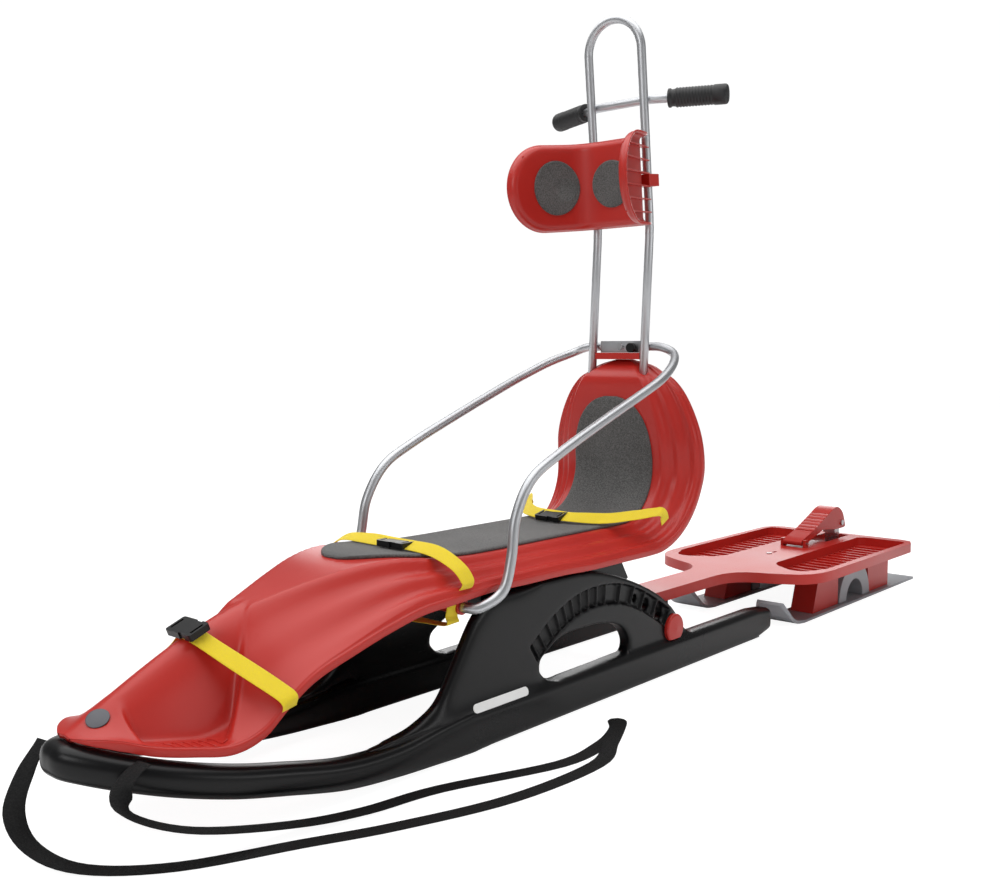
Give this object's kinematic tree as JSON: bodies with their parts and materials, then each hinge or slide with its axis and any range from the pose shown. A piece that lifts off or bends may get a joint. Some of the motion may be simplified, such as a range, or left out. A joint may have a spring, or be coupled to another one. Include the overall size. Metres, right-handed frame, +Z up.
{
  "type": "steerable snow sled with towed stand-on brake board",
  "caption": "Snow sled with moulded seat, black runner frame, side hoops, push bar with handlebar and head support, and a hinged stand-on brake board.",
  "frame": {"origin": "on the floor, on the middle plane, halfway between the bow's front and the board's ski ends", "axes": "+X to the sled's left, +Y to the rear, +Z up"},
  "size_m": [0.5172, 2.2951, 1.2046],
  "materials": {
    "red_plastic": "moulded, glossy",
    "black_plastic": "satin black moulding",
    "steel": "plain",
    "aluminium": "brushed tube",
    "grey_foam": "closed-cell foam",
    "yellow_webbing": "woven webbing",
    "black_small": "moulded",
    "grip_rubber": "soft grip",
    "grey_plastic": "satin",
    "black_webbing": "woven webbing"
  },
  "bodies": {
    "sled": {"runner_left": "black_plastic", "runner_right": "black_plastic", "bow": "black_plastic", "glide_left": "steel", "glide_right": "steel", "cap_left": "red_plastic", "cap_right": "red_plastic", "hitch_rod": "steel", "saddle": "black_plastic", "seat_shell": "red_plastic", "seat_pad": "grey_foam", "belt_foot": "yellow_webbing", "belt_thigh": "yellow_webbing", "belt_thigh_slack": "yellow_webbing", "belt_hip": "yellow_webbing", "buckle_foot": "black_small", "buckle_thigh": "black_small", "buckle_hip": "black_small", "push_bar": "aluminium", "hoop_left": "aluminium", "hoop_right": "aluminium", "hoop_socket": "red_plastic", "clamp_plate": "aluminium", "clamp_bolt": "steel", "clamp_knob": "black_small", "back_bar": "red_plastic", "handlebar": "aluminium", "grip_left": "grip_rubber", "grip_right": "grip_rubber", "tow_strap": "black_webbing"},
    "hitch": {"hitch_yoke": "red_plastic", "kingpin": "steel"},
    "platform": {"board": "red_plastic", "ski_left": "grey_plastic", "ski_right": "grey_plastic", "riser_left": "grey_plastic", "riser_right": "grey_plastic", "board_screw": "steel", "pedal_pin": "steel"},
    "pedal": {"brake_pedal": "red_plastic", "brake_claw": "steel", "pedal_rivet": "steel"},
    "head": {"head_support": "red_plastic", "head_pad_left": "grey_foam", "head_pad_centre": "grey_foam", "head_pad_right": "grey_foam", "head_clamp": "red_plastic"}
  },
  "joints": [
    {"name": "hitch_pitch", "type": "hinge", "parent": "sled", "child": "hitch", "pos_m": [0, -0.004, 0.083], "axis": [1, 0, 0], "range_deg": [0, 12]},
    {"name": "board_yaw", "type": "hinge", "parent": "hitch", "child": "platform", "pos_m": [0, 0.046, 0.1], "axis": [0, 0, 1], "range_deg": [-20, 20]},
    {"name": "brake", "type": "hinge", "parent": "platform", "child": "pedal", "pos_m": [0, 0.757, 0.127], "axis": [-1, 0, 0], "range_deg": [0, 8], "stiffness_Nm_per_rad": 20, "springref_deg": -5.73},
    {"name": "head_height", "type": "slide", "parent": "sled", "child": "head", "axis": [0, -0.1045, 0.9945], "range_m": [-0.04, 0.06]}
  ]
}
